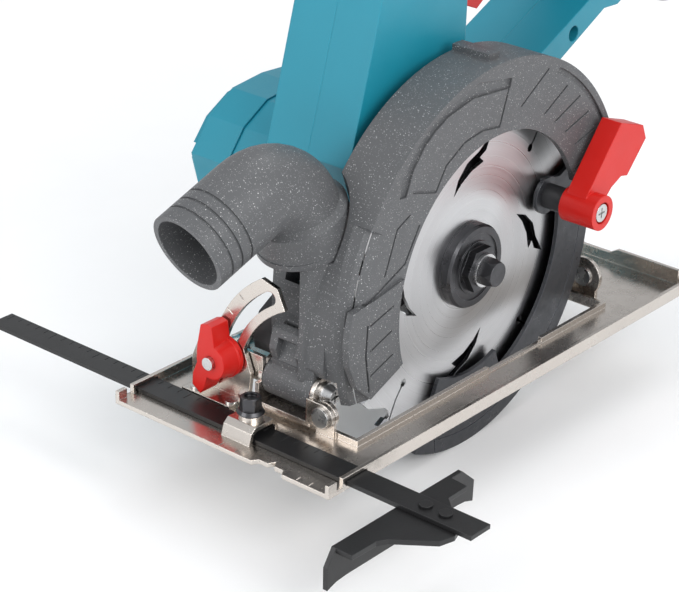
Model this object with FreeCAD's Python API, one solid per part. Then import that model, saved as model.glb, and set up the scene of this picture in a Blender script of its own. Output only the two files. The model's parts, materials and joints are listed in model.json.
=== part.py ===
import FreeCAD, Part
import math
import os

# Cordless circular saw. Millimetres. +X is forward, +Y is the blade side, +Z is up.
# The origin is on the sole, under the arbor, in the blade's middle plane.

V = FreeCAD.Vector
X_AXIS, Y_AXIS, Z_AXIS = V(1, 0, 0), V(0, 1, 0), V(0, 0, 1)

# Driving dimensions
BLADE_R = 75.0
BLADE_T = 1.6
BORE_R = 10.0
TEETH = 24
ARBOR_Z = 42.0

BASE_FRONT, BASE_REAR = 123.0, -119.0
BASE_BLADE, BASE_MOTOR = 34.0, -74.0
PLATE_T = 1.8
LIP_H = 5.4
REAR_EAR_X = -82.2
WIN_FRONT, WIN_REAR = 86.7, -75.0
WIN_BLADE, WIN_MOTOR = 17.0, -50.0

BEVEL_Y, BEVEL_Z = 4.0, 10.5
BEVEL_BOLT_R, BEVEL_BOLT_DEG = 48.5, 168.0
BEVEL_BOLT_SHANK = 2.6
DEPTH_X, DEPTH_Z = 82.5, 14.5
DEPTH_ARC_R, DEPTH_STUD_DEG = 150.0, 12.0

GUARD_R, GUARD_WALL = 88.0, 3.5
GUARD_WINDOW_R = 58.6
GUARD_FACE_Y, GUARD_BACK_Y = 13.0, -10.0
GUARD_START, GUARD_END = -19.7, 157.0

LOWER_R, LOWER_WALL = 79.1, 2.4
LOWER_NEAR_Y, LOWER_FAR_Y = 4.75, -7.2
LOWER_START, LOWER_END = 158.0, 295.0

MODULE = 1.0
GEAR_TEETH, PINION_TEETH = 40, 9
GEAR_CENTRES = MODULE * (GEAR_TEETH + PINION_TEETH) / 2
MOTOR_DEG = 70.8
MOTOR_X = GEAR_CENTRES * math.cos(math.radians(MOTOR_DEG))
MOTOR_Z = ARBOR_Z + GEAR_CENTRES * math.sin(math.radians(MOTOR_DEG))
GEAR_Y0, GEAR_Y1 = -31.0, -23.0

PORT_TILT = 22.0
PORT_BASE = V(77.0, -18.7, 73.0)
PORT_AXIS = V(math.sin(math.radians(PORT_TILT)), 0, math.cos(math.radians(PORT_TILT)))
SPOUT_AXIS = V(0.918, -0.074, -0.39).normalize()
ELBOW_R, ELBOW_BORE_R = 16.5, 14.2
ELBOW_RISE, ELBOW_REACH, ELBOW_BEND_R = 34.0, 51.5, 20.0
COLLAR_R, COLLAR_H = 19.2, 14.0
NECK_TOP_R, NECK_FOOT_R = 18.4, 10.4
NECK_FOOT = V(81.5, -15.7, 20.0)
RUN_FIT = 0.05
SPINDLE_LOCK_DEG, SPINDLE_LOCK_Y = 165.0, -18.3

HANDLE_MID_Y = -37.0
HANDLE_HALF_W = 20.5
PACK_X0, PACK_X1 = -246.0, -134.0
PACK_Z0, PACK_Z1 = 118.0, 171.5
BAR_X0, BAR_X1 = 101.7, 113.0
BAR_Z0, BAR_T = 1.9, 1.8


# ---------- shape helpers ----------

def box(x0, x1, y0, y1, z0, z1):
    return Part.makeBox(x1 - x0, y1 - y0, z1 - z0, V(x0, y0, z0))


def rod(radius, start, end):
    axis = end.sub(start)
    return Part.makeCylinder(radius, axis.Length, start, axis)


def rod_y(radius, x, z, y0, y1):
    return rod(radius, V(x, y0, z), V(x, y1, z))


def rod_x(radius, y, z, x0, x1):
    return rod(radius, V(x0, y, z), V(x1, y, z))


def rod_z(radius, x, y, z0, z1):
    return rod(radius, V(x, y, z0), V(x, y, z1))


def tube_y(outer, inner, x, z, y0, y1):
    return rod_y(outer, x, z, y0, y1).cut(rod_y(inner, x, z, y0 - 1, y1 + 1))


def fuse(*shapes):
    body = shapes[0].fuse(list(shapes[1:])) if len(shapes) > 1 else shapes[0]
    return body.removeSplitter()


def side_prism(points, y0, y1):
    """Prism of a polygon given as (x, z), from y0 to y1."""
    wire = Part.makePolygon([V(x, y0, z) for x, z in points + points[:1]])
    return Part.Face(wire).extrude(V(0, y1 - y0, 0))


def front_prism(points, x0, x1):
    """Prism of a polygon given as (y, z), from x0 to x1."""
    wire = Part.makePolygon([V(x0, y, z) for y, z in points + points[:1]])
    return Part.Face(wire).extrude(V(x1 - x0, 0, 0))


def plan_prism(points, z0, z1):
    """Prism of a polygon given as (x, y), from z0 to z1."""
    wire = Part.makePolygon([V(x, y, z0) for x, y in points + points[:1]])
    return Part.Face(wire).extrude(V(0, 0, z1 - z0))


def polar(radius, deg, cx=0.0, cz=ARBOR_Z):
    angle = math.radians(deg)
    return (cx + radius * math.cos(angle), cz + radius * math.sin(angle))


def sector(outer, inner, deg0, deg1, y0, y1, cx=0.0, cz=ARBOR_Z):
    """Part of a ring about an axis along Y, between two angles from +X towards +Z."""
    def at(radius, deg):
        x, z = polar(radius, deg, cx, cz)
        return V(x, y0, z)
    mid = (deg0 + deg1) / 2
    edges = [
        Part.Arc(at(outer, deg0), at(outer, mid), at(outer, deg1)).toShape(),
        Part.LineSegment(at(outer, deg1), at(inner, deg1)).toShape(),
        Part.Arc(at(inner, deg1), at(inner, mid), at(inner, deg0)).toShape(),
        Part.LineSegment(at(inner, deg0), at(outer, deg0)).toShape(),
    ]
    return Part.Face(Part.Wire(edges)).extrude(V(0, y1 - y0, 0))


def front_sector(outer, inner, deg0, deg1, x0, x1):
    """Part of a ring about the bevel axis, between two angles from +Y towards +Z."""
    def at(radius, deg):
        angle = math.radians(deg)
        return V(x0, BEVEL_Y + radius * math.cos(angle), BEVEL_Z + radius * math.sin(angle))
    mid = (deg0 + deg1) / 2
    edges = [
        Part.Arc(at(outer, deg0), at(outer, mid), at(outer, deg1)).toShape(),
        Part.LineSegment(at(outer, deg1), at(inner, deg1)).toShape(),
        Part.Arc(at(inner, deg1), at(inner, mid), at(inner, deg0)).toShape(),
        Part.LineSegment(at(inner, deg0), at(outer, deg0)).toShape(),
    ]
    return Part.Face(Part.Wire(edges)).extrude(V(x1 - x0, 0, 0))


def hexagon_y(flats, x, z, y0, y1):
    radius = flats / math.sqrt(3)
    points = [polar(radius, 60 * k, x, z) for k in range(6)]
    return side_prism(points, y0, y1)


def groove(points, width, y0, y1):
    """A straight-sided groove along an open line of (x, z) points, round at its corners."""
    pieces = []
    for (xa, za), (xb, zb) in zip(points, points[1:]):
        length = math.hypot(xb - xa, zb - za)
        nx, nz = -(zb - za) / length * width / 2, (xb - xa) / length * width / 2
        corners = [(xa + nx, za + nz), (xb + nx, zb + nz), (xb - nx, zb - nz), (xa - nx, za - nz)]
        pieces.append(side_prism(corners, y0, y1))
    for x, z in points:
        pieces.append(rod_y(width / 2, x, z, y0, y1))
    return pieces


# ---------- base ----------

def lip(x0, x1, y0, y1, top=LIP_H):
    return box(x0, x1, y0, y1, 0, top)


def base_plate():
    corner = 5.0
    outline = [(BASE_REAR, BASE_MOTOR + corner), (BASE_REAR + corner, BASE_MOTOR),
               (BASE_FRONT, BASE_MOTOR), (BASE_FRONT, BASE_BLADE),
               (BASE_REAR + corner, BASE_BLADE), (BASE_REAR, BASE_BLADE - corner)]
    plate = plan_prism(outline, 0, PLATE_T)
    window = box(WIN_REAR, WIN_FRONT, WIN_MOTOR, WIN_BLADE, -1, LIP_H + 1)
    rim = box(WIN_REAR - PLATE_T, WIN_FRONT + PLATE_T, WIN_MOTOR - PLATE_T, WIN_BLADE + PLATE_T,
              0, LIP_H - 1.2)
    rim_notch = box(-30, 6, WIN_BLADE - 1, WIN_BLADE + PLATE_T + 1, PLATE_T + 0.8, LIP_H)
    bracket_room = box(74, 93, -31, -1, 3.4, LIP_H)
    side_end = 115.0
    lips = [lip(BASE_REAR + corner, side_end, BASE_BLADE - PLATE_T, BASE_BLADE),
            lip(BASE_REAR + corner, side_end, BASE_MOTOR, BASE_MOTOR + PLATE_T),
            lip(118.5, BASE_FRONT, BASE_BLADE - PLATE_T, BASE_BLADE),
            lip(118.5, BASE_FRONT, BASE_MOTOR, BASE_MOTOR + PLATE_T),
            rear_lip(corner)]
    bar_slot = box(BAR_X0 - 0.4, BAR_X1 + 0.4, BASE_MOTOR - 1, BASE_BLADE + 1,
                   PLATE_T, BAR_Z0 + BAR_T + 0.4)
    body = fuse(plate, rim.cut([rim_notch, bracket_room]), *lips).cut(window).cut(bar_slot)
    ears = [bevel_ear(88.2, 90.0, 5.4), bevel_ear(REAR_EAR_X, REAR_EAR_X + 1.8, 8.5)]
    body = fuse(body, *ears, guide_arch())
    pin_bore = rod_x(2.45, BEVEL_Y, BEVEL_Z, -84, 91)
    sight = plan_prism([(124, -4), (124, 12), (120.4, 10), (120.4, 5.6), (117.5, 4), (120.4, 2.4),
                        (120.4, -2)], -1, 3)
    ticks = [box(119.8, 122.2, y - 0.2, y + 0.2, PLATE_T - 0.15, 3) for y in (-20, -12, 18, 24)]
    screw_bore = rod_z(2.6, 107.3, -18, 6, 12)
    return body.cut(pin_bore).cut(sight).cut(ticks).cut(screw_bore)


def rear_lip(corner):
    """Rear lip with a shallow dip in its top edge, and its two corner runs."""
    wall = lip(BASE_REAR, BASE_REAR + PLATE_T, BASE_MOTOR + corner, BASE_BLADE - corner, 8.4)
    dip = front_prism([(-26, 9), (-21, 6.0), (-7, 6.0), (-2, 9)], BASE_REAR - 1, BASE_REAR + 3)
    wall = wall.cut(dip)
    for side in (-1, 1):
        y_edge = BASE_BLADE if side > 0 else BASE_MOTOR
        run = plan_prism([(BASE_REAR, y_edge - side * corner), (BASE_REAR + corner, y_edge),
                          (BASE_REAR + corner, y_edge - side * PLATE_T),
                          (BASE_REAR + PLATE_T, y_edge - side * corner)], 0, LIP_H)
        wall = fuse(wall, run)
    return wall


def bevel_ear(x0, x1, radius):
    stem = box(x0, x1, BEVEL_Y - radius * 0.8, BEVEL_Y + radius * 0.8, 0, BEVEL_Z)
    return fuse(rod_x(radius, BEVEL_Y, BEVEL_Z, x0, x1), stem)


def guide_arch():
    """Pressed bridge over the rip guide bar, with the boss its screw threads into."""
    y0, y1 = -25.0, -11.0
    outer = [(98.5, 0), (100.2, 6.4), (102.4, 8.4), (112.2, 8.4), (114.6, 6.4), (116.6, 0)]
    inner = [(101.0, -1), (101.2, 5.2), (102.8, 6.4), (111.8, 6.4), (113.4, 5.2), (113.7, -1)]
    shell = side_prism(outer, y0, y1).cut(side_prism(inner, y0 - 1, y1 + 1))
    shell = shell.common(box(90, 125, y0, y1, PLATE_T - 0.4, 12))
    return fuse(shell, rod_z(4.6, 107.3, -18, 6.4, 10.2))


def bevel_quadrant():
    """Upright plate with an arc slot about the bevel axis and a riveted foot."""
    x0, x1 = 90.4, 92.4
    band = front_sector(BEVEL_BOLT_R + 8.2, BEVEL_BOLT_R - 6.4, 116.8, 178.0, x0, x1)
    corner_cut = front_prism([(-30, 64), (-12, 64), (-12, 50), (-19.0, 56.2), (-29.0, 58.6)], x0 - 1, x1 + 1)
    web = front_prism([(-62, PLATE_T), (-33, PLATE_T), (-31.5, 16), (-36, 27), (-44, 30),
                       (-58, 24), (-62, 14)], x0, x1)
    foot = box(x0, 100.6, -60, -35, PLATE_T, PLATE_T + 2)
    half_slot = BEVEL_BOLT_SHANK + 0.2
    slot = front_sector(BEVEL_BOLT_R + half_slot, BEVEL_BOLT_R - half_slot, 123.0, 168.0,
                        x0 - 1, x1 + 1)
    ends = []
    for deg in (123.0, 168.0):
        angle = math.radians(deg)
        ends.append(rod_x(half_slot, BEVEL_Y + BEVEL_BOLT_R * math.cos(angle),
                          BEVEL_Z + BEVEL_BOLT_R * math.sin(angle), x0 - 1, x1 + 1))
    scale = []
    for deg in (138, 148, 158):
        scale.append(front_sector(BEVEL_BOLT_R + 7.6, BEVEL_BOLT_R + 4.6, deg - 0.25, deg + 0.25,
                                  x1 - 0.2, x1 + 1))
    rivet_holes = [rod_z(1.6, 96.5, y, 0, 5) for y in (-55.5, -37.5)]
    body = fuse(band, web, foot).cut(corner_cut).cut(slot)
    return body.cut(ends + scale + rivet_holes)


def quadrant_rivets():
    rivets = []
    for y in (-55.5, -37.5):
        head = rod_z(2.8, 96.5, y, PLATE_T + 2, PLATE_T + 2.8)
        rivets.append(fuse(head, rod_z(1.55, 96.5, y, PLATE_T, PLATE_T + 2)))
    return Part.makeCompound(rivets)


def bevel_pivot_rivets():
    """The two pins, front and rear, that the saw tilts on."""
    front = fuse(rod_x(2.45, BEVEL_Y, BEVEL_Z, 87.0, 93.0), rod_x(4.0, BEVEL_Y, BEVEL_Z, 92.1, 93.5),
                 rod_x(3.6, BEVEL_Y, BEVEL_Z, 87.0, 88.2))
    inner = REAR_EAR_X + 1.8
    rear = fuse(rod_x(2.45, BEVEL_Y, BEVEL_Z, REAR_EAR_X - 2.2, inner),
                rod_x(4.2, BEVEL_Y, BEVEL_Z, inner, inner + 0.8),
                rod_x(4.0, BEVEL_Y, BEVEL_Z, REAR_EAR_X - 3.4, REAR_EAR_X - 2.1))
    return Part.makeCompound([front, rear])


# ---------- rip guide ----------

def rip_guide_bar():
    bar = box(BAR_X0, BAR_X1, -155.7, 90.5, BAR_Z0, BAR_Z0 + BAR_T)
    marks = []
    for k in range(35):
        length = 5.0 if k % 5 == 0 else 3.0
        y = -153.0 + 5.0 * k
        marks.append(box(BAR_X0 + 0.6, BAR_X0 + 0.6 + length, y - 0.2, y + 0.2,
                         BAR_Z0 + BAR_T - 0.2, BAR_Z0 + BAR_T + 1))
    return bar.cut(marks)


def rip_fence():
    """Flange under the bar with the guiding wall that hangs from its inner edge."""
    top = BAR_Z0 - 0.1
    inner, gauge = 56.8, 2.0
    flange = plan_prism([(148.3, inner), (148.3, 66), (135.5, 66.3), (131.5, 68.5), (120.5, 82.6),
                         (114, 84.3), (101.5, 80), (100.2, 72.6), (94.7, 66.7), (83.4, 66.5),
                         (82.3, inner)], top - gauge, top)
    wall = side_prism([(148.3, top), (152.6, -4.9), (152.4, -13.8), (147.5, -12.2), (142, -11.8),
                       (78, -11.8), (73.5, -12.2), (68.6, -13.8), (68.4, -4.9), (76.0, top)],
                      inner, inner + gauge)
    return fuse(flange, wall)


def fence_rivets():
    rivets = []
    for y in (66.0, 75.0):
        head = rod_z(2.6, 107.3, y, BAR_Z0 + BAR_T + 0.05, BAR_Z0 + BAR_T + 1.0)
        rivets.append(head)
    return Part.makeCompound(rivets)


def guide_clamp_screw():
    """Flanged hexagon screw with a cupped head that bears on the bar."""
    x, y, seat = 107.3, -18.0, 10.9
    shank = rod_z(2.5, x, y, BAR_Z0 + BAR_T + 0.1, seat)
    flange = Part.makeCone(5.4, 4.6, 1.4, V(x, y, seat), Z_AXIS)
    radius = 7.6 / math.sqrt(3)
    points = [(x + radius * math.cos(math.radians(60 * k)), y + radius * math.sin(math.radians(60 * k)))
              for k in range(6)]
    head = plan_prism(points, seat + 1.4, seat + 6.6)
    crown = Part.makeCone(4.8, 3.4, 5.6, V(x, y, seat + 1.4), Z_AXIS)
    cup = rod_z(2.6, x, y, seat + 5.4, seat + 8)
    return fuse(shank, flange, head.common(fuse(crown, rod_z(4.05, x, y, seat, seat + 6.4)))).cut(cup)


# ---------- tilt frame ----------

def front_bracket():
    """U bracket that carries the saw's nose, with its pivot tab and its clamp arm."""
    x0, x1, near, far, wall = 74.5, 92.0, -2.0, -29.5, 1.8
    floor = box(x0 + 2, x1, far, near, 4.0, 5.8)
    ears = []
    for y in (near - wall, far):
        ear = fuse(rod_y(8.0, DEPTH_X, DEPTH_Z, y, y + wall), box(x0 + 2, x1, y, y + wall, 4.0, 13.5))
        ears.append(ear)
    tab = fuse(rod_x(5.2, BEVEL_Y, BEVEL_Z, 90.2, x1), box(90.2, x1, near - wall, BEVEL_Y, 5.4, 15.6))
    angle = math.radians(BEVEL_BOLT_DEG)
    bolt_y = BEVEL_Y + BEVEL_BOLT_R * math.cos(angle)
    bolt_z = BEVEL_Z + BEVEL_BOLT_R * math.sin(angle)
    arm = fuse(box(88.0, 89.9, bolt_y, far + wall, bolt_z - 7.5, bolt_z + 3.2),
               rod_x(6.0, bolt_y, bolt_z, 88.0, 89.9))
    body = fuse(floor, *ears, tab, arm)
    holes = [rod_x(2.5, BEVEL_Y, BEVEL_Z, 85, 95), rod_x(BEVEL_BOLT_SHANK, bolt_y, bolt_z, 85, 95),
             rod_y(3.05, DEPTH_X, DEPTH_Z, far - 1, near + 1)]
    return body.cut(holes)


def arc_point(radius, deg):
    """Point on an arc about the depth pivot, measured up from straight back."""
    angle = math.radians(deg)
    return (DEPTH_X - radius * math.cos(angle), DEPTH_Z + radius * math.sin(angle))


def rear_depth_guide():
    """Arc-slotted upright on the rear bevel pivot, with the slot centred on the depth pivot."""
    y0, y1 = -13.4, -11.4
    band = sector(DEPTH_ARC_R + 8, DEPTH_ARC_R - 8, 180 - 37.5, 180 - 0.5, y0, y1, DEPTH_X, DEPTH_Z)
    back, front = REAR_EAR_X - 2.0, REAR_EAR_X - 0.2
    root = side_prism([(back, 4.6), (-60, 4.6), (-59, 18), (-74, 26), (back, 17)], y0, y1)
    tab = fuse(rod_x(6.5, BEVEL_Y, BEVEL_Z, back, front), box(back, front, y0, BEVEL_Y, 4.6, 16.6))
    half_slot = 3.2
    slot = sector(DEPTH_ARC_R + half_slot, DEPTH_ARC_R - half_slot, 180 - 30.5, 180 - 7.5,
                  y0 - 1, y1 + 1, DEPTH_X, DEPTH_Z)
    ends = []
    for deg in (7.5, 30.5):
        x, z = arc_point(DEPTH_ARC_R, deg)
        ends.append(rod_y(half_slot, x, z, y0 - 1, y1 + 1))
    scale = []
    for k in range(10):
        deg = 5.0 + 3.0 * k
        x, z = arc_point(DEPTH_ARC_R - 6.4, deg)
        scale.append(box(x - 1.4, x + 1.4, y0 - 1, y0 + 0.2, z - 0.2, z + 0.2))
    body = fuse(band, root, tab).cut(slot)
    return body.cut(ends + scale + [rod_x(2.5, BEVEL_Y, BEVEL_Z, -90, -70)])


def bevel_bolt_place():
    angle = math.radians(BEVEL_BOLT_DEG)
    return BEVEL_Y + BEVEL_BOLT_R * math.cos(angle), BEVEL_Z + BEVEL_BOLT_R * math.sin(angle)


def bevel_bolt():
    y, z = bevel_bolt_place()
    return fuse(rod_x(BEVEL_BOLT_SHANK, y, z, 87.9, 104.2), rod_x(5.6, y, z, 85.2, 87.9))


def bevel_wing_nut():
    """Two-winged clamping nut on the bevel bolt."""
    y, z = bevel_bolt_place()
    x0, x1 = 92.8, 102.4
    hub = fuse(Part.makeCone(8.4, 7.0, x1 - x0, V(x0, y, z), X_AXIS), rod_x(8.6, y, z, x0, x0 + 2))
    upper = front_prism([(y - 7, z + 2), (y - 6.6, z + 6), (y - 5.0, z + 14.6), (y - 2.2, z + 15.6),
                         (y + 0.6, z + 15), (y + 2.0, z + 6)], x0 + 0.4, x1)
    lower = front_prism([(y - 6.8, z - 2), (y - 9.0, z - 7.5), (y - 9.2, z - 12.2), (y - 5.1, z - 14.9),
                         (y - 3.2, z - 12), (y - 1.5, z - 6)], x0 + 0.4, x1)
    return fuse(hub, upper, lower).cut(rod_x(BEVEL_BOLT_SHANK + RUN_FIT, y, z, 90, 110))


# ---------- blade case ----------

def drum_shell():
    face_t = 2.5
    back_t = 2.2
    outer = sector(GUARD_R, GUARD_WINDOW_R, GUARD_START, GUARD_END, GUARD_BACK_Y, GUARD_FACE_Y)
    inner = sector(GUARD_R - GUARD_WALL, GUARD_WINDOW_R - 5, GUARD_START - 5, GUARD_END + 5,
                   GUARD_BACK_Y + back_t, GUARD_FACE_Y - face_t)
    shell = outer.cut(inner)
    back = sector(GUARD_R - 1, 20, GUARD_START, GUARD_END, GUARD_BACK_Y, GUARD_BACK_Y + back_t)
    return fuse(shell, back, rod_y(30, 0, ARBOR_Z, GUARD_BACK_Y, GUARD_BACK_Y + back_t))


def polar_points(*pairs):
    return [polar(radius, deg) for radius, deg in pairs]


def face_relief():
    """Recesses and engraved lines of the guard's face, as solids to cut away."""
    y1 = GUARD_FACE_Y + 1
    deep, light = GUARD_FACE_Y - 1.2, GUARD_FACE_Y - 0.8
    recess = polar_points((79.5, 39.3), (83.5, 43.2), (86.0, 53), (86.3, 60), (86.2, 66), (85.2, 79), (80.4, 93.8),
                          (76.4, 93.4), (80.4, 76.6), (82.2, 66), (82.5, 60), (82.2, 55), (80.2, 48), (76.1, 41))
    cuts = [side_prism(recess, deep, y1)]
    arrow = polar_points((76.6, 92.7), (62.2, 89.1), (64.7, 79.8), (66.0, 69.7), (65.2, 58.7), (61.2, 49.8),
                         (73.5, 43.5))
    cuts += groove(arrow, 1.1, light, y1)
    cuts += groove(polar_points((60.6, 36.1), (61.1, 21.9), (78.6, 10.2), (86.0, 8.5)), 1.1, light, y1)
    cuts += groove(polar_points((69.1, 37.3), (73.1, 31.8), (71.8, 17.5)), 0.9, light, y1)
    cuts += groove(polar_points((83.0, 111), (68.0, 101)), 0.9, light, y1)
    for start, end in (((79.8, 123), (65.9, 116.3)), ((80.2, 131.5), (65.0, 124.5)),
                       ((79.4, 139.5), (65.2, 133.5)), ((78.5, 147), (65.8, 143))):
        cuts += groove(polar_points(start, end), 0.9, light, y1)
    cuts += groove(polar_points((78.9, 150.6), (72.4, 153), (61.0, 152.5)), 1.0, light, y1)
    cuts.append(sector(85.0, 82.6, 116, 150, deep, y1))
    return cuts


def face_tile():
    """Raised tile at the low end of the face, ribbed, which overhangs the rim a little."""
    outline = polar_points((60.6, 16.7), (76.5, 11.0), (88.9, 8.5), (90.0, 3.7), (90.4, -0.3), (89.6, -5.5),
                           (86.5, -12.6), (80.4, -19.3), (61.8, -18.4), (62.3, -10.7), (62.0, 1.3))
    top = GUARD_FACE_Y + 1.4
    tile = side_prism(outline, GUARD_FACE_Y - 1.5, top)
    cuts = groove(polar_points((79.4, 3.7), (80.1, -5.1), (80.4, -16.5)), 1.0, top - 0.9, top + 1)
    for start, end in (((77.6, 3.6), (65.0, 7.4)), ((77.1, -4.3), (65.0, -1.6)), ((78.1, -12.1), (65.0, -10.7))):
        cuts += groove(polar_points(start, end), 0.8, top - 0.9, top + 1)
    return tile.cut(cuts)


def rim_slope():
    """What is cut off the rim's corner below the dust port, so that the face runs round into the neck."""
    section = Part.makePolygon([V(GUARD_R - 7.5, GUARD_FACE_Y + 0.1, 0), V(GUARD_R + 0.2, GUARD_FACE_Y + 0.1, 0),
                                V(GUARD_R + 0.2, GUARD_FACE_Y - 9.0, 0), V(GUARD_R - 1.5, GUARD_FACE_Y - 4.2, 0),
                                V(GUARD_R - 7.5, GUARD_FACE_Y + 0.1, 0)])
    ring = Part.Face(section).revolve(V(0, 0, 0), Y_AXIS, 360)
    ring.translate(V(0, 0, ARBOR_Z))
    return ring.common(sector(GUARD_R + 2, GUARD_R - 12, GUARD_START - 2, 29, -2, GUARD_FACE_Y + 1))


def neck_solid(grow=0.0):
    """Column that carries the dust port above the barrel."""
    top = Part.Wire(Part.makeCircle(NECK_TOP_R + grow, along(PORT_BASE, PORT_AXIS, -0.6), PORT_AXIS))
    foot = Part.Wire(Part.makeCircle(NECK_FOOT_R + grow, NECK_FOOT.sub(V(0, 0, grow)), V(0, 0, 1)))
    column = Part.makeLoft([foot, top], True, True)
    if grow:
        return column
    bevel_room = box(89.4, 110, -60, 20, 0, 66.2)
    swing_room = side_prism([(90.1, 14), (75.7, 63.0), (94.8, 68.4), (110, 66), (110, 14)], -60, -10.5)
    return column.cut(bevel_room).cut(swing_room)


def nose_block():
    """Neck from the drum to the barrel that turns on the depth pin."""
    profile = [(44, 44), (62, 60), (77, 46), (87.5, 37), (89.5, 29), (86.5, 21), (82.5, 20),
               (76, 20.5), (70, 30), (58, 36)]
    neck = side_prism(profile, -25.0, GUARD_BACK_Y + 0.5)
    pocket = side_prism([(84, 41), (90.5, 30), (88.5, 22.5), (83.5, 33)], -21.5, -12)
    barrel = rod_y(8.0, DEPTH_X, DEPTH_Z, -27.4, -4.1)
    bridge = side_prism([(78.5, 12), (86.5, 12), (88.2, 24), (79, 24)], -25.0, -10.0)
    wing = side_prism([(80.5, 18), (88, 20), (86.0, 45), (78.5, 45)], -11, -4.1)
    slab = side_prism([(84.4, 20), (88.4, 26), (87.5, 52), (80.3, 56)], -11, 1.0)
    return fuse(neck.cut(pocket), barrel, bridge, wing, slab)


def dust_stub_solid(radius, low, high):
    start = PORT_BASE.add(V(PORT_AXIS).multiply(low))
    return rod(radius, start, PORT_BASE.add(V(PORT_AXIS).multiply(high)))


def gear_hull():
    """Straight flanks between the big gear's round and the pinion's."""
    return [polar(27, 160), polar(27, 250), polar(27, 300), polar(27, 345),
            (MOTOR_X + 17, MOTOR_Z - 4), (MOTOR_X + 12, MOTOR_Z + 13), (MOTOR_X - 10, MOTOR_Z + 14),
            (MOTOR_X - 18, MOTOR_Z)]


def gear_boss():
    """Back of the case around the gears, open towards the gear cover."""
    hull = gear_hull()
    body = fuse(rod_y(27, 0, ARBOR_Z, -25, -9), side_prism(hull, -25, -9),
                rod_y(17, MOTOR_X, MOTOR_Z, -25, -9))
    link = side_prism([(10, 36), (50, 40), (50, 58), (14, 66)], -25, -9)
    return fuse(body, link)


def depth_lug():
    """Arm of the back wall that holds the depth stud behind the lower guard."""
    stud_x, stud_z = arc_point(DEPTH_ARC_R, DEPTH_STUD_DEG)
    arm = side_prism([polar(24, 150), polar(78, 155), (stud_x - 8.5, stud_z + 4), (stud_x - 4, stud_z - 8.5),
                      (stud_x + 8, stud_z - 8.5), polar(24, 195)], GUARD_BACK_Y, GUARD_BACK_Y + 2.2)
    return fuse(arm, rod_y(9, stud_x, stud_z, -11.2, GUARD_BACK_Y + 2.2))


def blade_case():
    """Main casting: guard drum and face, gear boss, nose, neck and dust port."""
    chamber = sector(GUARD_R - GUARD_WALL, 40, GUARD_START - 8, GUARD_END + 5, GUARD_BACK_Y + 2.2, GUARD_FACE_Y - 2.5)
    spigot = dust_stub_solid(17.6, -1.5, 10.0)
    snout = rod_y(19.2, 0, ARBOR_Z, -10.5, -5.6)
    sight_rib = sector(90.5, 86.5, 88, 92, GUARD_BACK_Y, 8)
    drum = drum_shell().cut(dust_stub_solid(COLLAR_R + 1.1, -0.6, 60)).cut(rim_slope())
    body = fuse(drum, gear_boss(), nose_block(), snout, sight_rib, depth_lug(), neck_solid().cut(chamber), face_tile())
    body = body.cut(dust_stub_solid(COLLAR_R + 1.1, -0.6, 30)).fuse(spigot)
    duct = [dust_stub_solid(ELBOW_BORE_R, -14, 12),
            rod_y(11.0, 70.5, 60.5, -27.0, -7)]
    gear_room = [rod_y(22.5, 0, ARBOR_Z, -25.5, -22.2), rod_y(7.5, MOTOR_X, MOTOR_Z, -25.5, -22.2)]
    spindle_room = [rod_y(9.0, 0, ARBOR_Z, -23, -14.9), rod_y(14.0, 0, ARBOR_Z, -15.0, -7.0),
                    rod_y(12.5, 0, ARBOR_Z, -7.5, -5)]
    spring_room = tube_y(25.2, 20.4, 0, ARBOR_Z, -13.2, -7)
    tip_bearing = rod_y(4.1, MOTOR_X, MOTOR_Z, -23, -17.5)
    pin_bore = rod_y(3.05, DEPTH_X, DEPTH_Z, -30, 5)
    ear_room = rod_y(9.0, DEPTH_X, DEPTH_Z, -4.1, 5.4)
    stud_bore = rod_y(2.98, *arc_point(DEPTH_ARC_R, DEPTH_STUD_DEG), -12, -8.2)
    lock_bore = rod(3.0 + RUN_FIT, spindle_lock_point(8.0), spindle_lock_point(34.0))
    cuts = duct + gear_room + spindle_room + [spring_room, tip_bearing, pin_bore, ear_room]
    cuts += [stud_bore, lock_bore]
    for point in cover_screw_places():
        cuts.append(rod_y(1.55, point[0], point[1], -26, -16))
    return body.cut(cuts + face_relief())


def cover_screw_places():
    return [polar(24.7, 190), polar(24.7, 262), (26.0, 44.8)]


def gear_cover():
    """Plastic cover behind the gears, with its wedge beside the nose."""
    core = fuse(rod_y(27, 0, ARBOR_Z, -35, -25), side_prism(gear_hull(), -35, -25),
                rod_y(17, MOTOR_X, MOTOR_Z, -35, -25), rod_y(13.5, 0, ARBOR_Z, -40.0, -35),
                rod_y(23.0, MOTOR_X, MOTOR_Z, -40, -34))
    wedge = side_prism([(16, 36), (64, 21), (74, 17), (83.8, 21), (85.8, 27.5), (84.6, 32), (82.5, 38),
                        (76.5, 41.5), (66, 46.5), (50, 50), (20, 50)], -36.5, -25)
    cuts = [rod_y(22.5, 0, ARBOR_Z, -31.8, -24), rod_y(7.5, MOTOR_X, MOTOR_Z, -31.8, -24),
            rod_y(11.0, 0, ARBOR_Z, -38.8, -31), rod_y(5.2, MOTOR_X, MOTOR_Z, -41, -31),
            rod_y(11.0, MOTOR_X, MOTOR_Z, -41, -33.4), neck_solid(0.25), rod_y(9.0, DEPTH_X, DEPTH_Z, -40, -24)]
    for point in cover_screw_places():
        cuts.append(rod_y(1.55, point[0], point[1], -37, -24))
    return fuse(core, wedge).cut(cuts)


def gear_cover_screws():
    screws = []
    for (x, z), seat in zip(cover_screw_places(), (-35.0, -35.0, -36.5)):
        screws.append(fuse(rod_y(1.55, x, z, seat, -17), rod_y(3.0, x, z, seat - 2.2, seat)))
    return Part.makeCompound(screws)


def along(start, direction, distance):
    return start.add(V(direction).multiply(distance))


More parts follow.
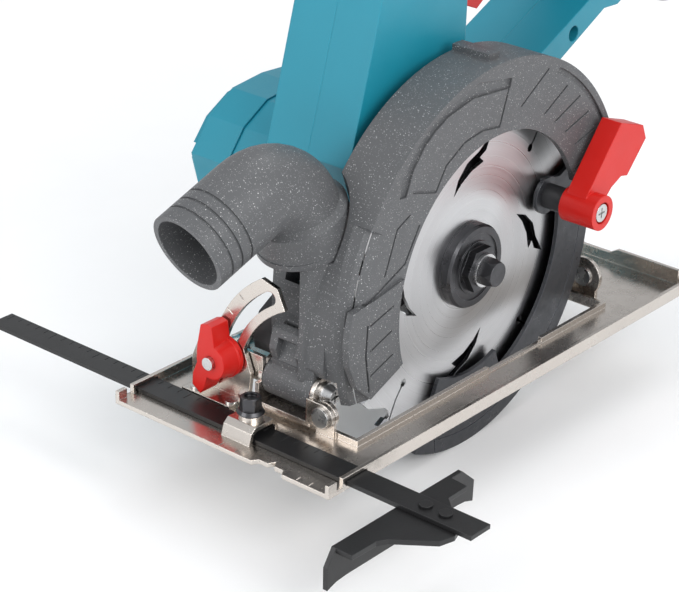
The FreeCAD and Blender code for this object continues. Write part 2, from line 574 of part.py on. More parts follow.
def elbow_path(low, beyond):
    """Centre line of the elbow: up the port's axis, round the bend and out of the spout."""
    corner = along(PORT_BASE, PORT_AXIS, ELBOW_RISE)
    bend_start = along(corner, PORT_AXIS, -ELBOW_BEND_R)
    bend_end = along(corner, SPOUT_AXIS, ELBOW_BEND_R)
    half_chord = bend_end.sub(bend_start).Length / 2
    centre_line = bend_start.add(bend_end).multiply(0.5)
    outward = corner.sub(centre_line).normalize()
    half_turn = math.acos(PORT_AXIS.dot(SPOUT_AXIS)) / 2
    middle = along(centre_line, outward, half_chord * math.tan(half_turn / 2))
    edges = [
        Part.LineSegment(along(PORT_BASE, PORT_AXIS, low), bend_start).toShape(),
        Part.Arc(bend_start, middle, bend_end).toShape(),
        Part.LineSegment(bend_end, along(corner, SPOUT_AXIS, ELBOW_REACH + beyond)).toShape(),
    ]
    return Part.Wire(edges)


def elbow_solid(radius, low, beyond):
    path = elbow_path(low, beyond)
    start = along(PORT_BASE, PORT_AXIS, low)
    section = Part.Wire(Part.makeCircle(radius, start, PORT_AXIS))
    return path.makePipeShell([section], True, False)


def dust_elbow():
    """Swivelling elbow: collar, quarter bend and grooved spout."""
    mouth = along(along(PORT_BASE, PORT_AXIS, ELBOW_RISE), SPOUT_AXIS, ELBOW_REACH)
    top = along(PORT_BASE, PORT_AXIS, COLLAR_H)
    collar = fuse(rod(COLLAR_R, PORT_BASE, top),
                  Part.makeCone(COLLAR_R, ELBOW_R - 0.4, 2.6, top, PORT_AXIS),
                  rod(COLLAR_R + 0.4, PORT_BASE, along(PORT_BASE, PORT_AXIS, 2.6)))
    body = elbow_solid(ELBOW_R, COLLAR_H - 3, 0).fuse(collar)
    body = body.cut(elbow_solid(ELBOW_BORE_R, 9.0, 2))
    body = body.cut(rod(17.7, along(PORT_BASE, PORT_AXIS, -1), along(PORT_BASE, PORT_AXIS, 10.6)))
    for back in (6.5, 11.5, 16.5):
        centre = along(mouth, SPOUT_AXIS, -back)
        band = rod(ELBOW_R + 2, centre, along(centre, SPOUT_AXIS, 1.0))
        core = rod(ELBOW_R - 0.7, along(centre, SPOUT_AXIS, -1), along(centre, SPOUT_AXIS, 2))
        body = body.cut(band.cut(core))
    return body


# ---------- lower guard ----------

def lower_guard():
    near = sector(LOWER_R, 57.0, LOWER_START, LOWER_END, LOWER_NEAR_Y - 1.8, LOWER_NEAR_Y)
    step = sector(58.0, 47.0, 248.0, LOWER_END, LOWER_NEAR_Y - 1.8, LOWER_NEAR_Y)
    pad = rod_y(8.0, *polar(50.6, 161.5), LOWER_NEAR_Y - 1.8, LOWER_NEAR_Y)
    pad_web = side_prism([polar(50, 151), polar(60, 158), polar(66, 166), polar(60, 176),
                          polar(52, 171)], LOWER_NEAR_Y - 1.8, LOWER_NEAR_Y)
    rim = sector(LOWER_R, LOWER_R - LOWER_WALL, LOWER_START, LOWER_END, LOWER_FAR_Y, LOWER_NEAR_Y)
    far = sector(LOWER_R, 19.0 + 2, LOWER_START, LOWER_END, LOWER_FAR_Y, LOWER_FAR_Y + 1.4)
    hub = tube_y(24.5, 19.28, 0, ARBOR_Z, LOWER_FAR_Y, LOWER_FAR_Y + 1.4)
    crease = sector(73.2, 72.6, LOWER_START + 1, LOWER_END - 8, LOWER_NEAR_Y - 0.4, LOWER_NEAR_Y + 1)
    nose_line = groove([polar(73, LOWER_END - 8), polar(79, LOWER_END - 10)], 0.6,
                       LOWER_NEAR_Y - 0.4, LOWER_NEAR_Y + 1)
    body = fuse(near, step, pad.common(rod_y(61, 0, ARBOR_Z, 0, 6)), pad_web, rim, far, hub)
    return body.cut([crease] + nose_line).cut(rod_y(2.0, *polar(50.6, 161.5), 0, 6))


def guard_lever_post():
    x, z = polar(50.6, 161.5)
    post = fuse(rod_y(5.2, x, z, LOWER_NEAR_Y, 15.0), rod_y(3.4, x, z, 15.0, 24.0))
    return post.cut(rod_y(2.0, x, z, 0, 30))


def guard_lever():
    """Red lever: hub on the post, and a flat arm with a cranked underside."""
    x, z = polar(50.6, 161.5)
    hub = rod_y(7.4, x, z, 15.1, 31.5)
    arm = side_prism([(x - 7.0, z + 2.5), (x + 4.5, z + 6.0), (x - 17.5, z + 32.5), (x - 34.0, z + 27.0),
                      (x - 37.0, z + 20.5), (x - 25.0, z + 7.5), (x - 20.5, z + 8.5)], 16.5, 26.0)
    rib = side_prism([(x - 5, z + 1), (x - 20, z + 9.0), (x - 23.5, z + 9), (x - 13, z - 1)], 20.5, 23.5)
    return fuse(hub, arm, rib).cut(rod_y(3.5, x, z, 14, 24.1)).cut(rod_y(4.6, x, z, 29.5, 33)).cut(
        rod_y(2.1, x, z, 14, 33))


def lever_screw():
    x, z = polar(50.6, 161.5)
    screw = fuse(rod_y(1.95, x, z, 4.8, 27.0), rod_y(1.95, x, z, 26.0, 29.6), rod_y(3.8, x, z, 29.55, 31.2))
    return screw.cut(box(x - 2.2, x + 2.2, 30.4, 33, z - 0.4, z + 0.4)).cut(
        box(x - 0.4, x + 0.4, 30.4, 33, z - 2.2, z + 2.2))


def guard_spring():
    """Return spring in the groove behind the guard hub: stacked wire turns with two tangs."""
    turns = []
    for k in range(3):
        turns.append(Part.makeTorus(22.8, 0.7, V(0, -12.2 + 1.36 * k, ARBOR_Z), Y_AXIS))
    return fuse(*turns)


def bearing_retainer():
    plate = tube_y(21.4, 12.6, 0, ARBOR_Z, -5.5, -4.8)
    holes = []
    for k in range(3):
        x, z = polar(17.0, 90 + 120 * k)
        holes.append(rod_y(1.3, x, z, -6, -4))
    return plate.cut(holes)


# ---------- blade and arbor ----------

def blade():
    plate = side_prism(blade_outline(), -BLADE_T / 2, BLADE_T / 2)
    cuts = [rod_y(BORE_R, 0, ARBOR_Z, -2, 2)]
    for k in range(4):
        deg = -45.1 + 90.0 * k
        cuts.append(rod_y(1.7, *polar(54.5, deg), -2, 2))
        cuts += groove([polar(54.5, deg), polar(62, deg - 1.0), polar(69.5, deg - 3.0)], 1.0, -2, 2)
        cuts.append(damping_slot(70.0 + 90.0 * k))
    return plate.cut(cuts)


def blade_outline():
    """Tooth outline with the cutting faces towards rising angle."""
    pitch = 360.0 / TEETH
    tip_deg = -45.6
    points = []
    shape = ((BLADE_R - 0.5, 0.0), (68.8, -1.6), (67.3, 0.4), (67.2, 2.8), (68.8, 5.2), (73.2, 10.6))
    for k in range(TEETH):
        for radius, offset in shape:
            points.append(polar(radius, tip_deg + offset + pitch * k))
    return points


def damping_slot(deg):
    """Fin-shaped slot that sweeps outwards with rising angle."""
    rim = [(34.0, 0.0), (39.6, 6.5), (44.4, 15.0), (47.2, 24.0), (53.5, 32.0), (47.0, 30.0),
           (44.6, 25.5), (42.6, 29.5), (40.0, 19.0), (37.0, 9.0)]
    return side_prism([polar(radius, deg + offset) for radius, offset in rim], -2, 2)


def carbide_tips():
    """One small hard tip on the face of each tooth."""
    tips = []
    pitch = 360.0 / TEETH
    for k in range(TEETH):
        deg = -45.6 + pitch * k
        face = [polar(BLADE_R, deg + 0.02), polar(70.4, deg - 1.15), polar(70.4, deg + 0.25),
                polar(BLADE_R - 0.2, deg + 1.35)]
        tips.append(side_prism(face, -1.15, 1.15))
    teeth = Part.makeCompound(tips)
    return teeth.cut(blade())


def inner_flange():
    flange = fuse(rod_y(17.5, 0, ARBOR_Z, -4.2, -BLADE_T / 2), rod_y(8.5, 0, ARBOR_Z, -6.6, -4.2),
                  rod_y(BORE_R - 0.02, 0, ARBOR_Z, -0.9, 0.5))
    return flange.cut(rod_y(6.02, 0, ARBOR_Z, -8, 3))


def outer_flange():
    disc = Part.makeCone(17.5, 16.7, 1.2, V(0, 4.0, ARBOR_Z), Y_AXIS)
    disc = fuse(rod_y(17.5, 0, ARBOR_Z, BLADE_T / 2 + 0.02, 4.0), disc)
    relief = tube_y(14.0, 11.0, 0, ARBOR_Z, 4.6, 6)
    boss = hexagon_y(17.0, 0, ARBOR_Z, 5.2, 8.6)
    return fuse(disc.cut(relief), boss).cut(rod_y(4.1, 0, ARBOR_Z, 0, 9))


def blade_bolt_washer():
    return tube_y(6.9, 4.1, 0, ARBOR_Z, 8.65, 10.2)


def blade_bolt():
    head = hexagon_y(10.0, 0, ARBOR_Z, 10.25, 16.0)
    head = head.common(Part.makeCone(6.6, 4.9, 6.0, V(0, 10.25, ARBOR_Z), Y_AXIS))
    return fuse(rod_y(3.95, 0, ARBOR_Z, -16, 10.3), head)


def spindle():
    shaft = fuse(rod_y(6.0, 0, ARBOR_Z, -31.0, -0.6), rod_y(8.2, 0, ARBOR_Z, -22.8, -15.1),
                 rod_y(4.0, 0, ARBOR_Z, -38.4, -30.5))
    return shaft.cut(rod_y(4.0, 0, ARBOR_Z, -20, 1))


def bearing(outer, inner, width, x, z, y0):
    """Closed ball bearing drawn as rings with shields set back."""
    body = tube_y(outer, inner, x, z, y0, y0 + width)
    groove_ring = tube_y(outer - 1.6, inner + 1.6, x, z, y0 + width - 0.5, y0 + width + 1)
    other_ring = tube_y(outer - 1.6, inner + 1.6, x, z, y0 - 1, y0 + 0.5)
    return body.cut(groove_ring).cut(other_ring)


def front_spindle_bearing():
    return bearing(13.98, 6.02, 8.0, 0, ARBOR_Z, -15.0)


def rear_spindle_bearing():
    return bearing(10.98, 4.02, 7.0, 0, ARBOR_Z, -38.6)


def gear_solid(teeth, x, z, y0, y1, phase_deg):
    """Straight-sided spur gear with the tooth form trimmed for backlash."""
    root = MODULE * (teeth / 2 - 1.2)
    tip = MODULE * (teeth / 2 + 0.9)
    pitch_r = MODULE * teeth / 2
    step = 360.0 / teeth
    points = []
    for k in range(teeth):
        centre = phase_deg + step * k
        points.append(polar(root, centre - step * 0.36, x, z))
        points.append(polar(pitch_r, centre - step * 0.225, x, z))
        points.append(polar(tip, centre - step * 0.10, x, z))
        points.append(polar(tip, centre + step * 0.10, x, z))
        points.append(polar(pitch_r, centre + step * 0.225, x, z))
        points.append(polar(root, centre + step * 0.36, x, z))
    return side_prism(points, y0, y1)


def driven_gear():
    wheel = gear_solid(GEAR_TEETH, 0, ARBOR_Z, GEAR_Y0, GEAR_Y1, MOTOR_DEG)
    lightening = [rod_y(2.6, *polar(12.5, 60 * k), GEAR_Y0 - 1, GEAR_Y1 + 1) for k in range(6)]
    return wheel.cut([rod_y(6.02, 0, ARBOR_Z, GEAR_Y0 - 1, GEAR_Y1 + 1)] + lightening)


def pinion_shaft():
    phase = MOTOR_DEG + 180.0 + 180.0 / PINION_TEETH
    pinion = gear_solid(PINION_TEETH, MOTOR_X, MOTOR_Z, GEAR_Y0 - 0.4, GEAR_Y1 + 0.4, phase)
    shaft = fuse(rod_y(3.3, MOTOR_X, MOTOR_Z, -104.0, GEAR_Y0), rod_y(3.98, MOTOR_X, MOTOR_Z, -104.0, -33.0))
    return fuse(pinion, shaft)


def rotor_core():
    core = rod_y(13.6, MOTOR_X, MOTOR_Z, -94.0, -66.0)
    slots = []
    for k in range(6):
        slots.append(rod_y(1.2, *polar(12.2, 60 * k, MOTOR_X, MOTOR_Z), -95, -65))
    return core.cut([rod_y(4.0, MOTOR_X, MOTOR_Z, -97, -60)] + slots)


def cooling_fan():
    hub = tube_y(9.0, 4.0, MOTOR_X, MOTOR_Z, -60.0, -53.0)
    plate = tube_y(23.0, 8.0, MOTOR_X, MOTOR_Z, -60.0, -58.6)
    blades = []
    for k in range(9):
        vane = box(MOTOR_X + 8.0, MOTOR_X + 22.5, -59.0, -53.5, MOTOR_Z - 0.6, MOTOR_Z + 0.6)
        vane.rotate(V(MOTOR_X, 0, MOTOR_Z), Y_AXIS, 40.0 * k)
        blades.append(vane)
    return fuse(hub, plate, *blades)


def motor_bearings():
    front = bearing(10.98, 4.02, 6.0, MOTOR_X, MOTOR_Z, -39.8)
    rear = bearing(10.98, 4.02, 7.0, MOTOR_X, MOTOR_Z, -104.5)
    return Part.makeCompound([front, rear])


def stator_core():
    ring = tube_y(26.0, 20.0, MOTOR_X, MOTOR_Z, -94.0, -66.0)
    poles = []
    for k in range(6):
        pole = box(MOTOR_X + 14.2, MOTOR_X + 21.0, -94.0, -66.0, MOTOR_Z - 2.4, MOTOR_Z + 2.4)
        pole.rotate(V(MOTOR_X, 0, MOTOR_Z), Y_AXIS, 60.0 * k)
        poles.append(pole)
    return fuse(ring, *poles).cut(rod_y(14.1, MOTOR_X, MOTOR_Z, -96, -64))


def stator_windings():
    coils = []
    for k in range(6):
        coil = box(MOTOR_X + 14.6, MOTOR_X + 19.1, -97.0, -63.0, MOTOR_Z - 4.9, MOTOR_Z + 4.9)
        coil = coil.cut(box(MOTOR_X + 14, MOTOR_X + 21, -94.05, -65.95, MOTOR_Z - 2.5, MOTOR_Z + 2.5))
        coil.rotate(V(MOTOR_X, 0, MOTOR_Z), Y_AXIS, 60.0 * k)
        coils.append(coil)
    return Part.makeCompound(coils)


# ---------- motor housing and handle ----------

HOUSING_OUTLINE = [(44.5, 72), (34, 85.5), (20, 93.6), (2, 95.5), (-15, 94.5), (-28, 82), (-34, 65),
                   (-28, 46), (-12, 34), (20, 34), (37, 46)]


def scaled_outline(shrink):
    """The housing outline moved towards the motor axis by a fixed amount at each corner."""
    points = []
    for x, z in HOUSING_OUTLINE:
        dx, dz = x - MOTOR_X, z - MOTOR_Z
        length = math.hypot(dx, dz)
        keep = (length - shrink) / length
        points.append((MOTOR_X + dx * keep, MOTOR_Z + dz * keep))
    return points


def cap_screw_places():
    spots = ((10.5, 32.0), (155.0, 33.0), (208.0, 33.0), (-33.5, 30.3))
    return [polar(radius, deg, MOTOR_X, MOTOR_Z) for deg, radius in spots]


def motor_housing():
    body = fuse(side_prism(scaled_outline(0.8), -89.0, -52.0), rod_y(25.6, MOTOR_X, MOTOR_Z, -52.5, -40.1))
    body = body.cut(rod_y(26.1, MOTOR_X, MOTOR_Z, -90, -54.0)).cut(rod_y(23.4, MOTOR_X, MOTOR_Z, -54.5, -39))
    vents = []
    for k in range(4):
        vents.append(box(MOTOR_X - 44, MOTOR_X - 20, -84 + 7 * k, -80.5 + 7 * k, MOTOR_Z - 9, MOTOR_Z + 5))
    bores = [rod_y(1.5, x, z, -90, -76.0) for x, z in cap_screw_places()]
    return body.cut(vents + bores)


def motor_end_cap():
    body = side_prism(scaled_outline(0.0), -108.0, -89.0)
    crown = side_prism(scaled_outline(3.5), -112.0, -108.0)
    body = fuse(body, crown)
    cavity = [rod_y(26.1, MOTOR_X, MOTOR_Z, -98.0, -88.0), rod_y(11.0, MOTOR_X, MOTOR_Z, -104.6, -97.0)]
    vents = []
    for k in range(5):
        vent = box(MOTOR_X + 13.5, MOTOR_X + 24.5, -113, -97.5, MOTOR_Z - 1.5, MOTOR_Z + 1.5)
        vent.rotate(V(MOTOR_X, 0, MOTOR_Z), Y_AXIS, 30 + 60.0 * k)
        vents.append(vent)
    bores = [rod_y(1.55, x, z, -110, -88) for x, z in cap_screw_places()]
    seats = [rod_y(3.1, x, z, -113, -105.5) for x, z in cap_screw_places()]
    return body.cut(cavity + vents + bores + seats)


def end_cap_screws():
    screws = []
    for x, z in cap_screw_places():
        head = rod_y(2.8, x, z, -107.5, -105.5).cut(rod_y(1.4, x, z, -108, -106.4))
        screws.append(fuse(rod_y(1.5, x, z, -105.6, -76.0), head))
    return Part.makeCompound(screws)


HANDLE_OUTLINE = [(55.5, 93.5), (40.5, 150), (34, 176), (24, 192), (8, 199), (-20, 199), (-112, 188),
                  (-132, 184), (-236, 188), (-236, 181.5), (-132, 181.5), (-132, 122), (-122, 117.5),
                  (-112, 118), (-60, 92), (-36, 86), (-30, 74), (44, 74)]
OPENING_OUTLINE = [(-14, 112), (-14, 146), (-20, 156), (-34, 160.5), (-100, 154), (-112, 148),
                   (-114, 138), (-108, 128), (-54, 103), (-26, 100)]


def handle_blank():
    """Whole D handle before it is split, with a ridged front and softened edges."""
    y0, y1 = HANDLE_MID_Y - HANDLE_HALF_W, HANDLE_MID_Y + HANDLE_HALF_W
    side = side_prism(HANDLE_OUTLINE, y0, y1).cut(side_prism(OPENING_OUTLINE, y0 - 1, y1 + 1))
    slim = 3.8
    grip_trim = []
    for sign in (-1, 1):
        edge = HANDLE_MID_Y + sign * (HANDLE_HALF_W - slim)
        far = HANDLE_MID_Y + sign * (HANDLE_HALF_W + 5)
        low, high = min(edge, far), max(edge, far)
        grip_trim.append(side_prism([(-16, 150), (-8, 160), (0, 202), (-116, 202), (-116, 150)], low, high))
    side = side.cut(grip_trim)
    return side


def handle_edges(blank):
    """Bevel the outer long edges of the handle on both sides."""
    y0, y1 = HANDLE_MID_Y - HANDLE_HALF_W, HANDLE_MID_Y + HANDLE_HALF_W
    picked = []
    for edge in blank.Edges:
        if edge.Length < 14 or len(edge.Vertexes) < 2:
            continue
        a, b = edge.Vertexes[0].Point, edge.Vertexes[1].Point
        on_side = all(min(abs(p.y - y0), abs(p.y - y1)) < 0.01 for p in (a, b))
        if on_side and min(a.z, b.z) > 92:
            picked.append(edge)
    for size in (3.0, 2.0, 1.0):
        try:
            bevelled = blank.makeChamfer(size, picked)
        except Part.OCCError:
            continue
        if bevelled.isValid() and bevelled.Volume > 0.8 * blank.Volume:
            return bevelled
    return blank


def handle_hollow():
    """Rooms inside the handle for trigger, switch, lock button, controller and terminals."""
    mid = HANDLE_MID_Y
    return [box(-58, -6, mid - 6.2, mid + 6.2, 154, 186), box(-52, -10, mid - 9.0, mid + 9.0, 174, 190),
            box(2, 30, mid - 14, mid + 14, 106, 148),
            box(-131, -119, mid - 16, mid + 16, 158, 179),
            box(-133, -130, mid - 13, mid + 13, 173.5, 179),
            rod_y(4.55, 4.0, 170.0, mid - 30, mid + 30), rod_y(3.05, -12.0, 168.0, mid - 8, mid + 8)]


def rail_hooks(sign):
    """Hooked rail under the handle's tail that the battery slides on."""
    mid = HANDLE_MID_Y
    web = box(-228, -132, mid + sign * 25 if sign > 0 else mid - 29, mid + 29 if sign > 0 else mid - 25,
              172.0, 182.0)
    lip_y0, lip_y1 = sorted((mid + sign * 21.8, mid + sign * 26))
    plate_y0, plate_y1 = sorted((mid + sign * 10, mid + sign * 29))
    return fuse(web, box(-228, -132, lip_y0, lip_y1, 172.0, 174.4), box(-236, -131, plate_y0, plate_y1, 181.5, 186.0))


def handle_screw_places():
    return [(30, 160), (10, 187), (-66, 178), (-123, 150), (-90, 112), (41, 100)]


def handle_shell(sign):
    mid = HANDLE_MID_Y
    half = box(-300, 100, mid, mid + 60, 0, 300) if sign > 0 else box(-300, 100, mid - 60, mid, 0, 300)
    body = handle_edges(handle_blank()).common(half).cut(handle_hollow())
    body = fuse(body, rail_hooks(sign))
    room = [rod_y(26.2, MOTOR_X, MOTOR_Z, -60, -39.8), rod_y(17.2, MOTOR_X, MOTOR_Z, -41, -5),
            rod_y(23.2, MOTOR_X, MOTOR_Z, -41, -33.8), dust_stub_solid(21.2, -2, 17),
            dust_stub_solid(17.2, 15, 60)]
    bores = [rod_y(1.6, x, z, mid - 15, mid + 30) for x, z in handle_screw_places()]
    seats = [rod_y(3.4, x, z, mid + 14.4, mid + 30) for x, z in handle_screw_places()]
    housing_room = side_prism(scaled_outline(-0.3), -120, -51.8)
    boss_room = side_prism([(x, z + 0.2) for x, z in gear_hull()], -41, -5)
    return body.cut(room + [housing_room, boss_room] + bores + (seats if sign > 0 else []))


def handle_shell_left():
    return handle_shell(1)


def handle_shell_right():
    return handle_shell(-1)


def handle_screws():
    mid = HANDLE_MID_Y
    screws = []
    for x, z in handle_screw_places():
        screw = fuse(rod_y(1.55, x, z, mid - 14, mid + 14.4), rod_y(3.1, x, z, mid + 14.4, mid + 16.4))
        slot = fuse(box(x - 2, x + 2, mid + 15.5, mid + 18, z - 0.35, z + 0.35),
                    box(x - 0.35, x + 0.35, mid + 15.5, mid + 18, z - 2, z + 2))
        screws.append(screw.cut(slot))
    return Part.makeCompound(screws)


def trigger():
    """Long red trigger that swings about a pin at its upper front end."""
    mid = HANDLE_MID_Y
    points = [(-8.6, 172), (-8.6, 164), (-19.5, 158.5), (-24.5, 146), (-34, 134), (-41, 131),
              (-45.5, 134), (-50.5, 146), (-53.5, 161), (-53.5, 168), (-40, 172.5)]
    return fuse(side_prism(points, mid - 5.6, mid + 5.6), rod_y(4.4, -12, 168, mid - 5.6, mid + 5.6)).cut(
        rod_y(3.08, -12, 168, mid - 9, mid + 9))


def trigger_pin():
    mid = HANDLE_MID_Y
    return rod_y(3.0, -12, 168, mid - 7.9, mid + 7.9)


def switch_body():
    mid = HANDLE_MID_Y
    return fuse(box(-50, -20, mid - 8.5, mid + 8.5, 180.5, 189.5), box(-46, -40, mid - 3, mid + 3, 179.4, 181))


def lock_off_button():
    mid = HANDLE_MID_Y
    return rod_y(4.5, 4.0, 170.0, mid - HANDLE_HALF_W - 3.5, mid + HANDLE_HALF_W - 0.2)


def controller():
    mid = HANDLE_MID_Y
    board = box(4, 26, mid - 12, mid + 12, 110, 144)
    fins = [box(3, 27, mid - 10.5 + 4.0 * k, mid - 9.5 + 4.0 * k, 112, 142) for k in range(6)]
    return fuse(board, *fins)


def battery_terminals():
    mid = HANDLE_MID_Y
    block = box(-130.5, -121, mid - 14, mid + 14, 160, 178.5)
    blades = [box(-144, -129, mid - 8.5 + 8.0 * k, mid - 7.5 + 8.0 * k, 175.5, 178.3) for k in range(3)]
    return fuse(block, *blades)


# ---------- battery ----------

def battery_case():
    """Slide-on pack: case body, tongue with rail grooves, and terminal slots."""
    mid = HANDLE_MID_Y
    body = box(PACK_X0, PACK_X1, mid - 37, mid + 37, PACK_Z0, PACK_Z1)
    edges = [e for e in body.Edges if abs(e.Vertexes[0].Point.z - e.Vertexes[1].Point.z) > 10]
    body = body.makeFillet(7.0, edges)
    low = [e for e in body.Edges if all(abs(v.Point.z - PACK_Z0) < 0.01 for v in e.Vertexes)]
    body = body.makeFillet(4.0, low)
    step = box(PACK_X0 + 1, PACK_X1 - 1, mid - 38, mid + 38, PACK_Z0 + 24, PACK_Z0 + 25)
    step = step.cut(box(PACK_X0, PACK_X1, mid - 36.4, mid + 36.4, PACK_Z0, PACK_Z1))
    neck = box(-230, PACK_X1, mid - 21.2, mid + 21.2, PACK_Z1, 175.2)
    tongue = box(-230, PACK_X1, mid - 24.6, mid + 24.6, 174.9, 180.9)
    cells = box(-240.5, -137.5, mid - 33.8, mid + 33.8, PACK_Z0 + 3.5, PACK_Z1 - 3.0)
    slots = [box(-146, PACK_X1 + 1, mid - 9.2 + 8.0 * k, mid - 6.8 + 8.0 * k, 174.6, 182) for k in range(3)]
    ribs = [box(-232 + 6 * k, -229 + 6 * k, mid - 38, mid + 38, PACK_Z0 + 30, PACK_Z1 - 8) for k in range(3)]
    ribs = [r.cut(box(-300, 0, mid - 36.2, mid + 36.2, 0, 300)) for r in ribs]
    latch_room = box(PACK_X0 - 1, -238.0, mid - 15.5, mid + 15.5, 157.5, PACK_Z1 + 1)
    return fuse(body, neck, tongue).cut([cells, step, latch_room] + slots + ribs)


def battery_latch():
    mid = HANDLE_MID_Y
    button = box(-246.0, -241.0, mid - 15, mid + 15, 158.2, 171.0)
    grips = [box(-247.2, -246.0, mid - 12, mid + 12, 160.5 + 3 * k, 161.8 + 3 * k) for k in range(3)]
    return fuse(button, *grips)


def battery_cells():
    cells = []
    pitch = 20.0
    for row in range(2):
        for k in range(5):
            x = -229.0 + pitch * k
            z = PACK_Z0 + 14.0 + 20.4 * row
            can = rod_y(9.2, x, z, HANDLE_MID_Y - 32.5, HANDLE_MID_Y + 32.5)
            cells.append(can)
    return Part.makeCompound(cells)


# ---------- depth and spindle locks ----------

def depth_stud():
    x, z = arc_point(DEPTH_ARC_R, DEPTH_STUD_DEG)
    return rod_y(2.96, x, z, -24.0, -8.3)


def depth_lock_lever():
    x, z = arc_point(DEPTH_ARC_R, DEPTH_STUD_DEG)
    hub = fuse(rod_y(7.5, x, z, -21.0, -13.7), rod_y(6.0, x, z, -23.0, -21.0))
    arm = side_prism([(x - 2, z + 6), (x - 2, z - 6), (x - 30, z - 9), (x - 38, z - 4), (x - 36, z + 3)],
                     -21.0, -16.0)
    return fuse(hub, arm).cut(rod_y(3.02, x, z, -30, -10))


def depth_pivot_screw():
    """Cross-head screw, washer face and nut that hinge the saw's nose in its bracket."""
    x, z = DEPTH_X, DEPTH_Z
    shank = rod_y(3.0, x, z, -33.5, -1.9)
    washer = rod_y(5.0, x, z, -1.95, -0.9)
    head = Part.makeCone(4.4, 3.0, 3.4, V(x, -0.9, z), Y_AXIS)
    nut = hexagon_y(8.0, x, z, -33.5, -29.6)
    cross = [box(x - 2.4, x + 2.4, 0.9, 4, z - 0.5, z + 0.5), box(x - 0.5, x + 0.5, 0.9, 4, z - 2.4, z + 2.4)]
    return fuse(shank, washer, head, nut).cut(cross)


def spindle_lock_point(radius):
    x, z = polar(radius, SPINDLE_LOCK_DEG)
    return V(x, SPINDLE_LOCK_Y, z)


def spindle_lock_button():
    """Button whose pin slides in towards the spindle to stop it."""
    pin = rod(3.0, spindle_lock_point(13.0), spindle_lock_point(31.5))
    cap = rod(6.0, spindle_lock_point(31.5), spindle_lock_point(38.5))
    return fuse(pin, cap)


PARTS = {
    "base_plate": base_plate, "bevel_quadrant": bevel_quadrant, "quadrant_rivets": quadrant_rivets,
    "bevel_pivot_rivets": bevel_pivot_rivets, "rip_guide_bar": rip_guide_bar, "rip_fence": rip_fence,
    "fence_rivets": fence_rivets, "guide_clamp_screw": guide_clamp_screw,
    "front_bracket": front_bracket, "rear_depth_guide": rear_depth_guide, "bevel_bolt": bevel_bolt,
    "bevel_wing_nut": bevel_wing_nut, "blade_case": blade_case, "gear_cover": gear_cover,
    "gear_cover_screws": gear_cover_screws, "dust_elbow": dust_elbow, "lower_guard": lower_guard,
    "guard_lever_post": guard_lever_post, "guard_lever": guard_lever, "lever_screw": lever_screw,
    "guard_spring": guard_spring, "bearing_retainer": bearing_retainer,
    "blade": blade, "carbide_tips": carbide_tips, "inner_flange": inner_flange,
    "outer_flange": outer_flange, "blade_bolt_washer": blade_bolt_washer, "blade_bolt": blade_bolt,
    "spindle": spindle, "front_spindle_bearing": front_spindle_bearing,
    "rear_spindle_bearing": rear_spindle_bearing, "driven_gear": driven_gear,
    "pinion_shaft": pinion_shaft, "rotor_core": rotor_core, "cooling_fan": cooling_fan,
    "motor_bearings": motor_bearings, "stator_core": stator_core, "stator_windings": stator_windings,
    "motor_housing": motor_housing, "motor_end_cap": motor_end_cap, "end_cap_screws": end_cap_screws,
    "handle_shell_left": handle_shell_left, "handle_shell_right": handle_shell_right,
    "handle_screws": handle_screws, "trigger": trigger, "trigger_pin": trigger_pin,
    "switch_body": switch_body, "lock_off_button": lock_off_button, "controller": controller,
    "battery_terminals": battery_terminals, "battery_case": battery_case,
    "battery_latch": battery_latch, "battery_cells": battery_cells, "depth_stud": depth_stud,
    "depth_lock_lever": depth_lock_lever, "depth_pivot_screw": depth_pivot_screw,
    "spindle_lock_button": spindle_lock_button,
}


def main():
    os.makedirs("parts", exist_ok=True)
    for name, build in PARTS.items():
        shape = build()
        shape.exportStep("parts/" + name + ".step")
        print(name, "solids", len(shape.Solids), "valid", shape.isValid(), "mm3", round(shape.Volume, 1))


main()
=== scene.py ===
"""Looks of the compact circular saw: finishes, softened edges, studio light and camera."""

import json
import math

import bmesh
import bpy
from mathutils import Matrix, Vector


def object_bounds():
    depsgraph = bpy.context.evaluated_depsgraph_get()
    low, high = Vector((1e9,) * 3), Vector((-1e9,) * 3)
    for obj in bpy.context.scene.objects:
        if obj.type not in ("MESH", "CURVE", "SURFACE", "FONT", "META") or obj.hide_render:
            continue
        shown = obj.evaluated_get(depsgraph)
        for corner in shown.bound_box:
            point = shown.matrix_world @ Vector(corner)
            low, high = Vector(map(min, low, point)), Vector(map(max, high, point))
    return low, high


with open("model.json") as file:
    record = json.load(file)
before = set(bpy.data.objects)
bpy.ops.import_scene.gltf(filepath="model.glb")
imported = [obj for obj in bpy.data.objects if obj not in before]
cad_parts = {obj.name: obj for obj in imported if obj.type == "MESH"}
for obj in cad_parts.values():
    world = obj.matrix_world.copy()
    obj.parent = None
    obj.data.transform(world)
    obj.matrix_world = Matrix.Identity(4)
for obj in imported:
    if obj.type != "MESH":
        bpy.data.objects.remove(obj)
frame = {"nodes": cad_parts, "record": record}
CAD_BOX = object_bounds()
NODES = frame["nodes"]
MM = 0.001

# the blade's axis runs along Y through this point
ARBOR = Vector((0.0, 0.0, 42.0 * MM))


# ---------------------------------------------------------------- shader building

# a rounded edge: samples of its normal, and the cosines over which its mask goes from 0 to 1
EDGE_SAMPLES = 6
EDGE_COSINES = (0.995, 0.86)

# the band of values that most of a noise lies in
NOISE_BAND = (0.3, 0.7)


def add(tree, kind, inputs=None, **settings):
    """Adds a shader node; an input is either a number or another node's output socket."""
    node = tree.nodes.new(kind)
    for key, value in settings.items():
        setattr(node, key, value)
    for key, value in (inputs or {}).items():
        if isinstance(value, bpy.types.NodeSocket):
            tree.links.new(value, node.inputs[key])
        else:
            node.inputs[key].default_value = value
    return node


def math_node(tree, operation, a, b):
    return add(tree, "ShaderNodeMath", {0: a, 1: b}, operation=operation).outputs[0]


